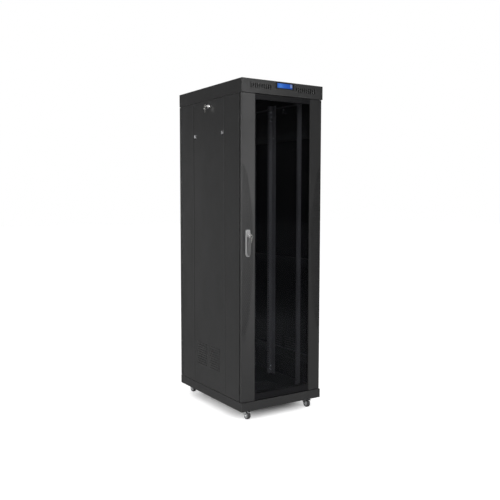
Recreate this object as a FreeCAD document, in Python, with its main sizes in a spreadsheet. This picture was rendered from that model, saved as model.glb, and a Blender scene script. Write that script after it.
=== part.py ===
# 42U network and server cabinet, 600 x 800 x 2055 mm.
#
# Frame: +Z up, front faces -Y, right is +X, origin on the floor at the middle
# of the footprint. All lengths in millimetres, all angles in degrees.
import FreeCAD, Part
import math
import os
import Sketcher
from FreeCAD import Placement, Rotation, Vector

doc = FreeCAD.newDocument("NetworkCabinet")
sheet = doc.addObject("Spreadsheet::Sheet", "Dims")

# Driving dimensions: (alias, value).
DIMENSIONS = [
    # cabinet and frame
    ("cab_width", 600.0), ("cab_depth", 800.0), ("cab_height", 2055.0),
    ("base_bottom", 65.0), ("base_height", 55.0), ("crown_height", 82.0),
    ("skin", 1.5), ("frame_sheet", 2.0),
    ("door_depth", 25.0), ("door_gap", 3.0),
    ("side_depth", 18.0), ("side_half_length", 368.0),
    ("post_outer_x", 280.0), ("post_outer_y", 368.0), ("post_width", 40.0), ("post_lip", 12.0),
    ("flange_side", 36.0), ("flange_end", 83.0),
    # mounting rails and their braces
    ("rail_opening", 450.0), ("rail_hole_pitch", 465.1), ("rail_hole_side", 9.5),
    ("rail_flange", 37.0), ("rail_web", 45.0),
    ("rack_unit", 44.45), ("rack_units", 42.0),
    ("rail_foot", 121.5), ("front_rail_y", -235.0), ("rear_rail_y", 100.0),
    ("brace_height", 50.0), ("brace_depth", 16.0),
    ("brace_low_z", 300.0), ("brace_mid_z", 935.0), ("brace_high_z", 1765.0),
    # doors
    ("stile_width", 91.0), ("stile_lean", 5.0), ("stile_round", 4.5),
    ("door_margin", 1.0), ("glass_thickness", 4.0),
    ("perf_radius", 3.4), ("perf_pitch", 12.5),
    ("hinge_x", 290.0), ("hinge_y", 385.0),
    ("hinge_pin_radius", 4.0), ("hinge_hole_radius", 4.05),
    ("handle_x", -258.0), ("handle_z", 1137.0),
    ("handle_low", 1007.0), ("handle_high", 1167.0), ("handle_width", 26.0),
    ("spindle_radius", 6.0), ("lock_plug_radius", 5.5),
    # side panels
    ("side_lock_z", 1935.0), ("side_latch_z", 1755.0), ("side_latch_y", 175.0),
    # casters and feet
    ("caster_x", 230.0), ("caster_y", 330.0), ("caster_trail", 22.0),
    ("wheel_radius", 25.0), ("wheel_width", 22.0),
    ("axle_radius", 4.0), ("king_pin_radius", 5.0),
    ("foot_hole_radius", 6.5), ("foot_hole_x", 280.0), ("foot_hole_y", 255.0),
    # fans and display
    ("fan_x", 75.0), ("fan_y", 0.0), ("fan_side", 120.0), ("fan_depth", 38.0),
    ("fan_bore", 56.0), ("display_x", 7.0), ("display_z", 2031.0),
]
for row, (alias, value) in enumerate(DIMENSIONS, start=1):
    sheet.set("A%d" % row, alias)
    sheet.set("B%d" % row, str(value))
    sheet.setAlias("B%d" % row, alias)
doc.recompute()


class Size:
    """A length together with the sheet expression that drives it."""

    def __init__(self, value, text):
        self.value = float(value)
        self.text = text

    def __add__(self, other):
        return Size(self.value + number(other), "(%s + %s)" % (self.text, formula(other)))

    def __radd__(self, other):
        return Size(number(other) + self.value, "(%s + %s)" % (formula(other), self.text))

    def __sub__(self, other):
        return Size(self.value - number(other), "(%s - %s)" % (self.text, formula(other)))

    def __rsub__(self, other):
        return Size(number(other) - self.value, "(%s - %s)" % (formula(other), self.text))

    def __mul__(self, other):
        return Size(self.value * number(other), "(%s * %s)" % (self.text, formula(other)))

    __rmul__ = __mul__

    def __truediv__(self, other):
        return Size(self.value / number(other), "(%s / %s)" % (self.text, formula(other)))

    def __neg__(self):
        return Size(-self.value, "(0 - %s)" % self.text)


def number(size):
    return size.value if isinstance(size, Size) else float(size)


def formula(size):
    if isinstance(size, Size):
        return size.text
    return repr(float(size)) if size >= 0 else "(0 - %r)" % abs(float(size))


dim = {alias: Size(value, "Dims." + alias) for alias, value in DIMENSIONS}

PIECES = {}


# --- document helpers -----------------------------------------------------
def piece(obj, name):
    """Labels an object as a finished piece and lists it for export."""
    obj.Label = name
    PIECES[name] = obj


def bind(obj, prop, size):
    if isinstance(size, Size):
        obj.setExpression(prop, size.text)
    elif "." not in prop:
        setattr(obj, prop, float(size))


def place(obj, x, y, z, rotation=None):
    obj.Placement = Placement(Vector(number(x), number(y), number(z)), rotation or Rotation())
    for axis, size in zip("xyz", (x, y, z)):
        bind(obj, "Placement.Base." + axis, size)
    return obj


def box(x0, x1, y0, y1, z0, z1):
    """An axis-aligned block between two corners."""
    obj = doc.addObject("Part::Box", "Block")
    for prop, size in (("Length", x1 - x0), ("Width", y1 - y0), ("Height", z1 - z0)):
        bind(obj, prop, size)
    return place(obj, x0, y0, z0)


TURN = {
    "z": Rotation(),
    "x": Rotation(Vector(0, 1, 0), 90),
    "y": Rotation(Vector(1, 0, 0), -90),
}


def cylinder(x, y, z, radius, length, axis="z"):
    """A cylinder from (x, y, z) along +axis."""
    obj = doc.addObject("Part::Cylinder", "Round")
    bind(obj, "Radius", radius)
    bind(obj, "Height", length)
    return place(obj, x, y, z, TURN[axis])


def hexagon(x, y, z, across_flats, length, axis="z"):
    """A hexagonal prism from (x, y, z) along +axis."""
    obj = doc.addObject("Part::Prism", "Hex")
    obj.Polygon = 6
    obj.Circumradius = across_flats / math.sqrt(3.0)
    obj.Height = length
    return place(obj, x, y, z, TURN[axis])


def fuse(*shapes):
    obj = doc.addObject("Part::MultiFuse", "Joined")
    obj.Shapes = list(shapes)
    obj.Refine = True
    return obj


def group(*shapes):
    obj = doc.addObject("Part::Compound", "Group")
    obj.Links = list(shapes)
    return obj


def cut(base, *tools):
    obj = doc.addObject("Part::Cut", "Cut")
    obj.Base = base
    obj.Tool = tools[0] if len(tools) == 1 else group(*tools)
    obj.Refine = True
    return obj


def mirrored(source):
    """The same thing on the other side of the cabinet's middle plane."""
    obj = doc.addObject("Part::Mirroring", "Mirrored")
    obj.Source = source
    obj.Normal = Vector(1, 0, 0)
    obj.Base = Vector(0, 0, 0)
    return obj


def mirrored_shape(shape):
    return shape.mirror(Vector(0, 0, 0), Vector(1, 0, 0))


def feature(shape, name):
    """A Part::Feature holding a shape made with Part's own functions."""
    obj = doc.addObject("Part::Feature", name)
    obj.Shape = shape
    return obj


def outline_wire(corners):
    return Part.makePolygon(corners + corners[:1])


def rectangle(x0, x1, y, z0, z1):
    """A closed rectangular wire in the plane at y."""
    return outline_wire([Vector(x0, y, z0), Vector(x1, y, z0), Vector(x1, y, z1), Vector(x0, y, z1)])


# --- PartDesign helpers ---------------------------------------------------
def new_body(name):
    return doc.addObject("PartDesign::Body", name)


def new_sketch(body, role, offset=None):
    sketch = body.newObject("Sketcher::SketchObject", "Sketch")
    plane = [item for item in body.Origin.OriginFeatures if item.Role == role][0]
    sketch.AttachmentSupport = [(plane, "")]
    sketch.MapMode = "FlatFace"
    if offset is not None:
        sketch.AttachmentOffset = Placement(Vector(0, 0, number(offset)), Rotation())
        bind(sketch, "AttachmentOffset.Base.z", offset)
    return sketch


def constrain(sketch, size, *constraint):
    """Adds a sketch constraint whose value is bound to its size."""
    index = sketch.addConstraint(Sketcher.Constraint(*constraint, number(size)))
    if isinstance(size, Size):
        sketch.setExpression("Constraints[%d]" % index, size.text)


def pin_point(sketch, edge, end, x, y):
    """Fixes a sketch point at (x, y); a zero coordinate puts it on the axis."""
    for kind, size, axis in (("DistanceX", x, -2), ("DistanceY", y, -1)):
        if abs(number(size)) < 1e-9:
            sketch.addConstraint(Sketcher.Constraint("PointOnObject", edge, end, axis))
        else:
            constrain(sketch, size, kind, -1, 1, edge, end)


def draw_outline(sketch, points):
    """A closed outline through fixed corners."""
    corners = [Vector(number(x), number(y), 0) for x, y in points]
    count = len(points)
    for i in range(count):
        sketch.addGeometry(Part.LineSegment(corners[i], corners[(i + 1) % count]), False)
    for i in range(count):
        sketch.addConstraint(Sketcher.Constraint("Coincident", i, 2, (i + 1) % count, 1))
    for i, (x, y) in enumerate(points):
        pin_point(sketch, i, 1, x, y)


def draw_circle(sketch, x, y, radius):
    centre = Vector(number(x), number(y), 0)
    edge = sketch.addGeometry(Part.Circle(centre, Vector(0, 0, 1), number(radius)), False)
    pin_point(sketch, edge, 3, x, y)
    constrain(sketch, radius, "Radius", edge)


def pad(body, sketch, length, middle=False):
    solid = body.newObject("PartDesign::Pad", "Pad")
    solid.Profile = sketch
    bind(solid, "Length", length)
    if middle:
        solid.SideType = "Symmetric"
    sketch.Visibility = False


def pocket(body, sketch, length, middle=False, reverse=False):
    hollow = body.newObject("PartDesign::Pocket", "Pocket")
    hollow.Profile = sketch
    bind(hollow, "Length", length)
    if middle:
        hollow.SideType = "Symmetric"
    hollow.Reversed = reverse


def revolve(body, sketch):
    solid = body.newObject("PartDesign::Revolution", "Revolution")
    solid.Profile = sketch
    solid.ReferenceAxis = (sketch, ["V_Axis"])
    solid.Angle = 360.0


# --- shared levels --------------------------------------------------------
SIDES = (-1, 1)
frame_sheet = dim["frame_sheet"]
skin = dim["skin"]
half_width = dim["cab_width"] / 2
half_depth = dim["cab_depth"] / 2
front_y = -half_depth
base_low = dim["base_bottom"]
base_top = base_low + dim["base_height"]
top = dim["cab_height"]
crown_low = top - dim["crown_height"]
door_low = base_top + dim["door_gap"]
door_high = crown_low - dim["door_gap"]

# Inner faces of the end webs, and inner edges of the frame's flanges.
end_web_in = half_depth - frame_sheet
side_web_in = half_width - frame_sheet
end_in = end_web_in - dim["flange_end"]
side_in = side_web_in - dim["flange_side"]

# Each ring's bottom, the top of its webs, and the top of its upper flanges.
BASE_LEVELS = (base_low, base_top, base_top)
CROWN_LEVELS = (crown_low, top, top - frame_sheet)

# Bolts and the holes they pass through.
BOLT_HOLE_RADIUS = 3.3
BOLT_RADIUS = 3.0
BOLT_HEAD_ACROSS = 10.0
BOLT_HEAD_HEIGHT = 4.0
BOLT_SHANK = 9.5
BOLT_OVERLAP = 0.5  # length of shank inside the head

CASTER_BOLT_OFFSET = 22.0
CASTER_PLATE = 3.0  # thickness

PIVOT_REACH = 4.0  # how far hinge pins enter the frame
PIVOT_HOLE_LENGTH = 6.0


# --- base and top rings ---------------------------------------------------
def channel(web_x, web_y, flange_x, flange_y, levels, holes):
    """A folded channel: an upright web and two flanges, less any holes."""
    low, high, flange_top = levels
    body = fuse(
        box(*web_x, *web_y, low, high),
        box(*flange_x, *flange_y, low, low + frame_sheet),
        box(*flange_x, *flange_y, flange_top - frame_sheet, flange_top),
    )
    return cut(body, *holes) if holes else body


def end_channel(levels, end, holes=()):
    """Front (end = -1) or rear (end = 1) channel, flanges inward."""
    if end > 0:
        web_y, flange_y = (end_web_in, half_depth), (end_in, end_web_in)
    else:
        web_y, flange_y = (front_y, -end_web_in), (-end_web_in, -end_in)
    return channel((-half_width, half_width), web_y, (-side_in, side_in), flange_y, levels, holes)


def side_channel(levels, holes=()):
    """Right-hand channel, between the end webs."""
    span = (-end_web_in, end_web_in)
    return channel((side_web_in, half_width), span, (side_in, side_web_in), span, levels, holes)


def caster_bolt_points():
    """(x, y, end) of every caster bolt."""
    for side in SIDES:
        for end in SIDES:
            for bolt_x in SIDES:
                for bolt_y in SIDES:
                    yield (
                        side * dim["caster_x"] + bolt_x * CASTER_BOLT_OFFSET,
                        end * dim["caster_y"] + bolt_y * CASTER_BOLT_OFFSET,
                        end,
                    )


def pivot_holes(z):
    """Holes for the pins of both doors, in the right-hand channel."""
    x, radius = dim["hinge_x"], dim["hinge_hole_radius"]
    return [cylinder(x, end * dim["hinge_y"], z, radius, PIVOT_HOLE_LENGTH) for end in SIDES]


def foot_holes():
    x, y, radius = dim["foot_hole_x"], dim["foot_hole_y"], dim["foot_hole_radius"]
    return [cylinder(x, end * y, base_low - 1, radius, 4.0) for end in SIDES]


def base_end(end):
    holes = [
        cylinder(x, y, base_low - 1, BOLT_HOLE_RADIUS, 5.0)
        for x, y, bolt_end in caster_bolt_points() if bolt_end == end
    ]
    return end_channel(BASE_LEVELS, end, holes)


def build_base_frame():
    right_holes = foot_holes() + pivot_holes(base_top - PIVOT_REACH)
    frame = group(
        base_end(-1),
        base_end(1),
        side_channel(BASE_LEVELS, right_holes),
        mirrored(side_channel(BASE_LEVELS, foot_holes())),
    )
    piece(frame, "base_frame")


def build_top_frame():
    """Side and rear channels; the front one is the crown."""
    frame = group(
        end_channel(CROWN_LEVELS, 1),
        side_channel(CROWN_LEVELS, pivot_holes(crown_low - 2)),
        mirrored(side_channel(CROWN_LEVELS)),
    )
    piece(frame, "top_frame")


def build_crown():
    """Front channel with two groups of vertical slots and a display window."""
    slot_start, slot_pitch, slot_half = 96.0, 15.5, 3.0
    window_half_width, window_half_height = 58, 16
    cut_y = (front_y - 1, front_y + 4)
    cuts = []
    for side in SIDES:
        for i in range(10):
            x = side * (slot_start + slot_pitch * i)
            cuts.append(box(x - slot_half, x + slot_half, *cut_y, top - 53, top - 24))
    x, z = dim["display_x"], dim["display_z"]
    cuts.append(
        box(
            x - window_half_width, x + window_half_width, *cut_y,
            z - window_half_height, z + window_half_height,
        )
    )
    piece(end_channel(CROWN_LEVELS, -1, cuts), "crown_fascia")


def build_display():
    """A bezel on the crown's face and the panel set in its window."""
    def block(half_x, half_z, y0, y1):
        x, z = dim["display_x"], dim["display_z"]
        return box(x - half_x, x + half_x, front_y + y0, front_y + y1, z - half_z, z + half_z)

    piece(cut(block(68, 19.5, -2.5, 0), block(56, 14, -4, 1)), "display_bezel")
    piece(block(57.5, 15.5, 0.1, 9), "display_panel")


# --- corner posts ---------------------------------------------------------
# (name, x side, y side, turn about Z)
POSTS = (
    ("front_left", -1, -1, 0),
    ("front_right", 1, -1, 90),
    ("rear_right", 1, 1, 180),
    ("rear_left", -1, 1, 270),
)


def build_corner_posts():
    """Lipped angles, each with its corner at the outside."""
    width, lip, wall = dim["post_width"], dim["post_lip"], frame_sheet
    outline = [
        (0, 0), (width, 0), (width, lip), (width - wall, lip), (width - wall, wall),
        (wall, wall), (wall, width - wall), (lip, width - wall), (lip, width), (0, width),
    ]
    for name, side, end, turn in POSTS:
        body = new_body("Post")
        sketch = new_sketch(body, "XY_Plane")
        draw_outline(sketch, outline)
        pad(body, sketch, crown_low - base_top)
        x, y = side * dim["post_outer_x"], end * dim["post_outer_y"]
        place(body, x, y, base_top, Rotation(Vector(0, 0, 1), turn))
        piece(body, "corner_post_" + name)


# --- floor and roof sheets ------------------------------------------------
OPENING_HALF_WIDTH = 150.0  # rectangular opening near the rear of both sheets
FAN_SCREW_OFFSET = 52.5
FAN_SCREW_RADIUS = 2.2


def fan_holes(side, z, bore_radius, length):
    """One fan's bore and its four screw holes."""
    fan_x, fan_y = side * dim["fan_x"], dim["fan_y"]
    holes = [cylinder(fan_x, fan_y, z, bore_radius, length)]
    for screw_x in SIDES:
        for screw_y in SIDES:
            x = fan_x + screw_x * FAN_SCREW_OFFSET
            y = fan_y + screw_y * FAN_SCREW_OFFSET
            holes.append(cylinder(x, y, z, FAN_SCREW_RADIUS, length))
    return holes


def build_bottom_panel():
    """Floor sheet with the rear opening and nine cross slots towards the front."""
    slot_start, slot_pitch, slot_half_width, slot_half_length = -60.0, 18.0, 3, 120.0
    cut_z = (base_top - 2, base_top + 4)
    cuts = [box(-OPENING_HALF_WIDTH, OPENING_HALF_WIDTH, 205.0, 295.0, *cut_z)]
    for i in range(9):
        y = slot_start - slot_pitch * i
        slot_y = (y - slot_half_width, y + slot_half_width)
        cuts.append(box(-slot_half_length, slot_half_length, *slot_y, *cut_z))
    x, y = dim["post_outer_x"] - 2, end_in + 10
    piece(cut(box(-x, x, -y, y, base_top, base_top + skin), *cuts), "bottom_panel")


def build_roof_panel():
    """Roof sheet with the rear opening and the fans' holes."""
    edge_gap = 2.5
    cut_low = top - 6
    cuts = [box(-OPENING_HALF_WIDTH, OPENING_HALF_WIDTH, 232.0, 312.0, cut_low, top + 2)]
    for side in SIDES:
        cuts += fan_holes(side, cut_low, dim["fan_bore"] + 1, 10.0)
    x, y = half_width - edge_gap, half_depth - edge_gap
    piece(cut(box(-x, x, -y, y, top - frame_sheet, top), *cuts), "roof_panel")


# --- 19-inch mounting rails and depth braces ------------------------------
UNIT_HOLE_STEPS = (6.35, 22.225, 38.1)  # hole centres above each unit's bottom
BRACE_LEVELS = [dim["brace_low_z"], dim["brace_mid_z"], dim["brace_high_z"]]
brace_in = dim["rail_opening"] / 2 + dim["rail_flange"]

rail_web_length = number(dim["rail_web"] - frame_sheet)
front_flange_y = number(dim["front_rail_y"])
rear_flange_y = number(dim["rear_rail_y"] - frame_sheet)
# Where each rail's flange and web start in y: (name, flange, web).
RAILS = (
    ("front", front_flange_y, front_flange_y + number(frame_sheet)),
    ("rear", rear_flange_y, rear_flange_y - rail_web_length),
)
RAIL_BOLT_Y = [web_y + rail_web_length / 2 for name, flange_y, web_y in RAILS]


def rail_shape(flange_y, web_y, bolt_y):
    """Right-hand rail: a flange with three square holes per unit and a web
    along its outer edge, with three bolt holes."""
    wall = number(frame_sheet)
    unit_height = number(dim["rack_unit"])
    units = int(number(dim["rack_units"]))
    inner_x = number(dim["rail_opening"]) / 2
    outer_x = number(brace_in)
    low = number(dim["rail_foot"])
    height = number(dim["rack_unit"] * dim["rack_units"])
    hole_x = number(dim["rail_hole_pitch"]) / 2
    half = number(dim["rail_hole_side"]) / 2
    wires = [rectangle(inner_x, outer_x, flange_y, low, low + height)]
    for unit in range(units):
        for step in UNIT_HOLE_STEPS:
            z = low + unit * unit_height + step
            wires.append(rectangle(hole_x - half, hole_x + half, flange_y, z - half, z + half))
    flange = Part.makeFace(wires, "Part::FaceMakerBullseye").extrude(Vector(0, wall, 0))
    web = Part.makeBox(wall, rail_web_length, height, Vector(outer_x - wall, web_y, low))
    for level in BRACE_LEVELS:
        start = Vector(outer_x - 6, bolt_y, number(level))
        web = web.cut(Part.makeCylinder(BOLT_HOLE_RADIUS, 10, start, Vector(1, 0, 0)))
    return flange.fuse(web).removeSplitter()


def build_rails():
    for (name, flange_y, web_y), bolt_y in zip(RAILS, RAIL_BOLT_Y):
        shape = rail_shape(flange_y, web_y, bolt_y)
        piece(feature(shape, "Rail"), "mounting_rail_%s_right" % name)
        piece(feature(mirrored_shape(shape), "Rail"), "mounting_rail_%s_left" % name)


def brace(level):
    """A folded channel, open outwards, that carries the rails."""
    half_height = dim["brace_height"] / 2
    half_length = dim["post_outer_y"] - dim["post_width"]
    low, high = level - half_height, level + half_height
    outer = box(brace_in, brace_in + dim["brace_depth"], -half_length, half_length, low, high)
    inner = box(
        brace_in + frame_sheet, brace_in + dim["brace_depth"] + 1,
        -half_length - 1, half_length + 1,
        low + frame_sheet, high - frame_sheet,
    )
    holes = [cylinder(brace_in - 1, y, level, BOLT_HOLE_RADIUS, 5.0, "x") for y in RAIL_BOLT_Y]
    return cut(outer, inner, *holes)


def build_braces():
    braces = group(*[brace(level) for level in BRACE_LEVELS])
    piece(braces, "depth_braces_right")
    piece(mirrored(braces), "depth_braces_left")


def bolt(head_start, shank_start, axis):
    return fuse(
        hexagon(*head_start, BOLT_HEAD_ACROSS, BOLT_HEAD_HEIGHT, axis),
        cylinder(*shank_start, BOLT_RADIUS, BOLT_SHANK, axis),
    )


def build_bolts():
    """Rail bolts with heads inside the rails; caster bolts with heads below."""
    seat = brace_in - frame_sheet
    bolts = []
    for side in SIDES:
        if side > 0:
            head_x, shank_x = seat - BOLT_HEAD_HEIGHT, seat - BOLT_OVERLAP
        else:
            head_x, shank_x = -seat, -seat - (BOLT_SHANK - BOLT_OVERLAP)
        for y in RAIL_BOLT_Y:
            for level in BRACE_LEVELS:
                bolts.append(bolt((head_x, y, level), (shank_x, y, level), "x"))
    seat = base_low - CASTER_PLATE
    for x, y, end in caster_bolt_points():
        bolts.append(bolt((x, y, seat - BOLT_HEAD_HEIGHT), (x, y, seat - BOLT_OVERLAP), "z"))
    piece(group(*bolts), "frame_bolts")


# --- fans -----------------------------------------------------------------
fan_top = top - 4
fan_low = fan_top - dim["fan_depth"]

STRUT_LENGTH, STRUT_WIDTH, STRUT_HEIGHT = 42.0, 6.0, 4.0
STRUT_START = 17  # radius at which the struts begin, inside the motor mount
GUARD_RADIUS = 59.0
GUARD_SLOTS = ((12.0, 20.0), (23.0, 31.0), (34.0, 42.0), (45.0, 53.0))  # inner, outer radius
GUARD_HALF_BAR = 2.2  # half the cross's width between slots, along the arc
BLADES = 7
BLADE_PITCH = 36


def strut(fan_x, fan_y, turn):
    """A bar from the motor mount out to the housing, at an angle in plan."""
    arm = doc.addObject("Part::Box", "Strut")
    arm.Length, arm.Width, arm.Height = STRUT_LENGTH, STRUT_WIDTH, STRUT_HEIGHT
    cosine, sine = math.cos(math.radians(turn)), math.sin(math.radians(turn))
    half = STRUT_WIDTH / 2
    start = Vector(
        number(fan_x) + STRUT_START * cosine + half * sine,
        number(fan_y) + STRUT_START * sine - half * cosine,
        number(fan_low),
    )
    arm.Placement = Placement(start, Rotation(Vector(0, 0, 1), turn))
    return arm


def fan_housing(side):
    x, y, half = side * dim["fan_x"], dim["fan_y"], dim["fan_side"] / 2
    shell = cut(
        box(x - half, x + half, y - half, y + half, fan_low, fan_low + dim["fan_depth"]),
        *fan_holes(side, fan_low - 1, dim["fan_bore"], dim["fan_depth"] + 2)
    )
    mount = cylinder(x, y, fan_low, 20.0, STRUT_HEIGHT)
    return fuse(shell, mount, *[strut(x, y, turn) for turn in (45, 135, 225, 315)])


def guard_slot(centre, inner, outer, middle):
    """A slot a quarter turn long between two radii, about a middle angle."""
    inner_half = math.pi / 4 - GUARD_HALF_BAR / inner
    outer_half = math.pi / 4 - GUARD_HALF_BAR / outer

    def point(radius, angle):
        return centre + Vector(radius * math.cos(angle), radius * math.sin(angle), 0)

    def curve(radius, start, end):
        return Part.Arc(point(radius, start), point(radius, middle), point(radius, end)).toShape()

    inner_start, inner_end = middle - inner_half, middle + inner_half
    outer_start, outer_end = middle - outer_half, middle + outer_half
    return Part.Wire([
        curve(inner, inner_start, inner_end),
        Part.makeLine(point(inner, inner_end), point(outer, outer_end)),
        curve(outer, outer_end, outer_start),
        Part.makeLine(point(outer, outer_start), point(inner, inner_start)),
    ])


def guard_shape(centre):
    """A flat finger guard: rings tied by a cross."""
    wires = [Part.Wire([Part.Edge(Part.Circle(centre, Vector(0, 0, 1), GUARD_RADIUS))])]
    for inner, outer in GUARD_SLOTS:
        for quarter in range(4):
            wires.append(guard_slot(centre, inner, outer, quarter * math.pi / 2))
    return Part.makeFace(wires, "Part::FaceMakerBullseye").extrude(Vector(0, 0, 1.5))


def rotor_shape(centre):
    """A hub with pitched blades."""
    hub_height = 27
    hub = Part.makeCylinder(19.5, hub_height, centre)
    blades = []
    for i in range(BLADES):
        blade = Part.makeBox(37, 30, 1.6, Vector(17, -15, -0.8))
        blade.rotate(Vector(0, 0, 0), Vector(1, 0, 0), BLADE_PITCH)
        blade.rotate(Vector(0, 0, 0), Vector(0, 0, 1), i * 360.0 / BLADES)
        blade.translate(centre + Vector(0, 0, hub_height / 2))
        blades.append(blade)
    return hub.fuse(blades)


def build_fans():
    def centre(side, z):
        return Vector(side * number(dim["fan_x"]), number(dim["fan_y"]), z)

    piece(group(*[fan_housing(side) for side in SIDES]), "fan_housings")
    guard_z = number(fan_top) + 0.2
    guards = Part.makeCompound([guard_shape(centre(side, guard_z)) for side in SIDES])
    piece(feature(guards, "Guards"), "fan_guards")
    for side, name in ((-1, "left"), (1, "right")):
        rotor = rotor_shape(centre(side, number(fan_low) + 5))
        piece(feature(rotor, "Rotor"), "fan_rotor_" + name)


# --- front door stiles ----------------------------------------------------
door_x = half_width - dim["door_margin"]
stile_in = door_x - dim["stile_width"]
door_back = half_depth - dim["door_depth"]

# The lens-shaped field of round holes.
LENS_MIDDLE_Z, LENS_HALF_HEIGHT = 1035.0, 525.0
LENS_OUTER_MARGIN, LENS_INNER_MARGIN = 10.0, 9.0
LENS_POWER = 0.62  # how full the lens is towards its ends
HANDLE_CLEAR_X, HANDLE_CLEAR_Z = 19, 8  # plain field kept round the handle
SPINDLE_CLEARANCE = 0.05


def perforation():
    """Hole centres on a staggered grid inside a lens that is widest at the
    door's middle and narrows towards the outer edge at both ends."""
    pitch = number(dim["perf_pitch"])
    rise = pitch * math.sqrt(3.0) / 2
    outer = number(door_x) - LENS_OUTER_MARGIN
    deepest = number(stile_in) + LENS_INNER_MARGIN
    points = []
    for i in range(int(2 * LENS_HALF_HEIGHT / rise) + 1):
        z = LENS_MIDDLE_Z - LENS_HALF_HEIGHT + i * rise
        height = (z - LENS_MIDDLE_Z) / LENS_HALF_HEIGHT
        width = (outer - deepest) * (1.0 - height * height) ** LENS_POWER
        x = outer - (0.5 * pitch if i % 2 else 0.0)
        while x > outer - width:
            points.append((x, z))
            x -= pitch
    return points


def behind_handle(x, z):
    low, high = number(dim["handle_low"]), number(dim["handle_high"])
    return (
        abs(x + number(dim["handle_x"])) < HANDLE_CLEAR_X
        and low - HANDLE_CLEAR_Z < z < high + HANDLE_CLEAR_Z
    )


def stile_plate(width, left):
    """The perforated sheet, turned back by the lean about its inner edge.
    The left one leaves a plain field for the handle and is bored for the
    spindle."""
    inner, face_y = number(stile_in), number(front_y)
    wires = [rectangle(inner, inner + width, face_y, number(door_low), number(door_high))]
    for x, z in perforation():
        if left and behind_handle(x, z):
            continue
        circle = Part.Circle(Vector(x, face_y, z), Vector(0, -1, 0), number(dim["perf_radius"]))
        wires.append(Part.Wire([Part.Edge(circle)]))
    plate = Part.makeFace(wires, "Part::FaceMakerBullseye").extrude(Vector(0, number(skin), 0))
    plate.rotate(Vector(inner, face_y, 0), Vector(0, 0, 1), number(dim["stile_lean"]))
    if left:
        start = Vector(-number(dim["handle_x"]), face_y - 2, number(dim["handle_z"]))
        radius = number(dim["spindle_radius"]) + SPINDLE_CLEARANCE
        plate = plate.cut(Part.makeCylinder(radius, 14, start, Vector(0, 1, 0)))
    return plate


def arc(centre, radius, start, end):
    """An arc in plan between two angles, with its end points."""
    points = []
    for angle in (start, (start + end) / 2.0, end):
        turn = math.radians(angle)
        points.append(centre + Vector(radius * math.cos(turn), radius * math.sin(turn), 0))
    return Part.Arc(*points).toShape(), points[0], points[2]


def lines(points):
    return [Part.makeLine(points[i], points[i + 1]) for i in range(len(points) - 1)]


def extruded(edges, height):
    """The closed outline of the given edges, raised along +Z."""
    return Part.Face(Part.Wire(Part.__sortEdges__(edges))).extrude(Vector(0, 0, height))


def stile_shape(left):
    """A steel strip that leans back towards its outer edge, with a rounded
    fold, a return at the back and a cap at each end. It is made on the right."""
    wall, bend = number(skin), number(dim["stile_round"])
    outer, inner = number(door_x), number(stile_in)
    face_y, back_y = number(front_y), -number(door_back)
    low, high = number(door_low), number(door_high)
    lean = number(dim["stile_lean"])
    cosine, sine = math.cos(math.radians(lean)), math.sin(math.radians(lean))
    # Length of the flat up to the fold, and the fold's centre in plan.
    width = (outer - bend - inner + bend * sine) / cosine
    centre = (
        Vector(inner, face_y, low)
        + Vector(cosine, sine, 0) * width
        + Vector(-sine, cosine, 0) * bend
    )
    plate = stile_plate(width, left)

    outside, outside_start, outside_end = arc(centre, bend, lean - 90, 0)
    inside, inside_start, inside_end = arc(centre, bend - wall, lean - 90, 0)
    return_x = outer - wall - 16
    around = [
        outside_end,
        Vector(outer, back_y, low), Vector(return_x, back_y, low),
        Vector(return_x, back_y - wall, low), Vector(outer - wall, back_y - wall, low),
        inside_end,
    ]
    closing = Part.makeLine(inside_start, outside_start)
    fold = extruded([outside] + lines(around) + [inside, closing], high - low)

    # The caps' outline runs along the middle of the sheet.
    middle, middle_start, middle_end = arc(centre, bend - wall / 2, lean - 90, 0)
    first = Vector(inner, face_y + (wall / 2) / cosine, low)
    back = [middle_end, Vector(outer - wall / 2, back_y, low), Vector(inner, back_y, low), first]
    low_cap = extruded([Part.makeLine(first, middle_start), middle] + lines(back), wall)
    high_cap = low_cap.copy()
    high_cap.translate(Vector(0, 0, high - low - wall))
    inner_edge = Part.makeBox(wall, 3.4, high - low, Vector(inner, face_y + wall, low))
    if not left:
        def hinge_hole(z):
            start = Vector(number(dim["hinge_x"]), -number(dim["hinge_y"]), z)
            return Part.makeCylinder(number(dim["hinge_pin_radius"]), PIVOT_HOLE_LENGTH, start)

        low_cap = low_cap.cut(hinge_hole(low - 2))
        high_cap = high_cap.cut(hinge_hole(high - 4))
    solid = plate.fuse([fold, inner_edge, low_cap, high_cap]).removeSplitter()
    return mirrored_shape(solid) if left else solid


def build_stiles():
    piece(feature(stile_shape(True), "Stile"), "front_door_stile_left")
    piece(feature(stile_shape(False), "Stile"), "front_door_stile_right")


# --- front door glass, rails and hinges -----------------------------------
glass_front = front_y + 5
glass_back = glass_front + dim["glass_thickness"]


def door_rail(low, high):
    """A channel behind the glass, between the stiles."""
    web_back = glass_back + skin
    flange_back = -door_back - 0.5
    return fuse(
        box(-stile_in, stile_in, glass_back, web_back, low, high),
        box(-stile_in, stile_in, web_back, flange_back, low, low + skin),
        box(-stile_in, stile_in, web_back, flange_back, high - skin, high),
    )


def build_glazing():
    piece(door_rail(door_high - 30, door_high), "front_door_top_rail")
    piece(door_rail(door_low, door_low + 40), "front_door_bottom_rail")
    half = stile_in + 8
    glass = box(-half, half, glass_front, glass_back, door_low + 2, door_high - 2)
    piece(glass, "front_door_glass")
    strip_in, strip_out = stile_in + 0.5, stile_in + 9
    strip_span = (glass_back, glass_back + 3, door_low + 45, door_high - 35)
    strips = group(
        box(strip_in, strip_out, *strip_span),
        box(-strip_out, -strip_in, *strip_span),
    )
    piece(strips, "glass_clamp_strips")


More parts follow.
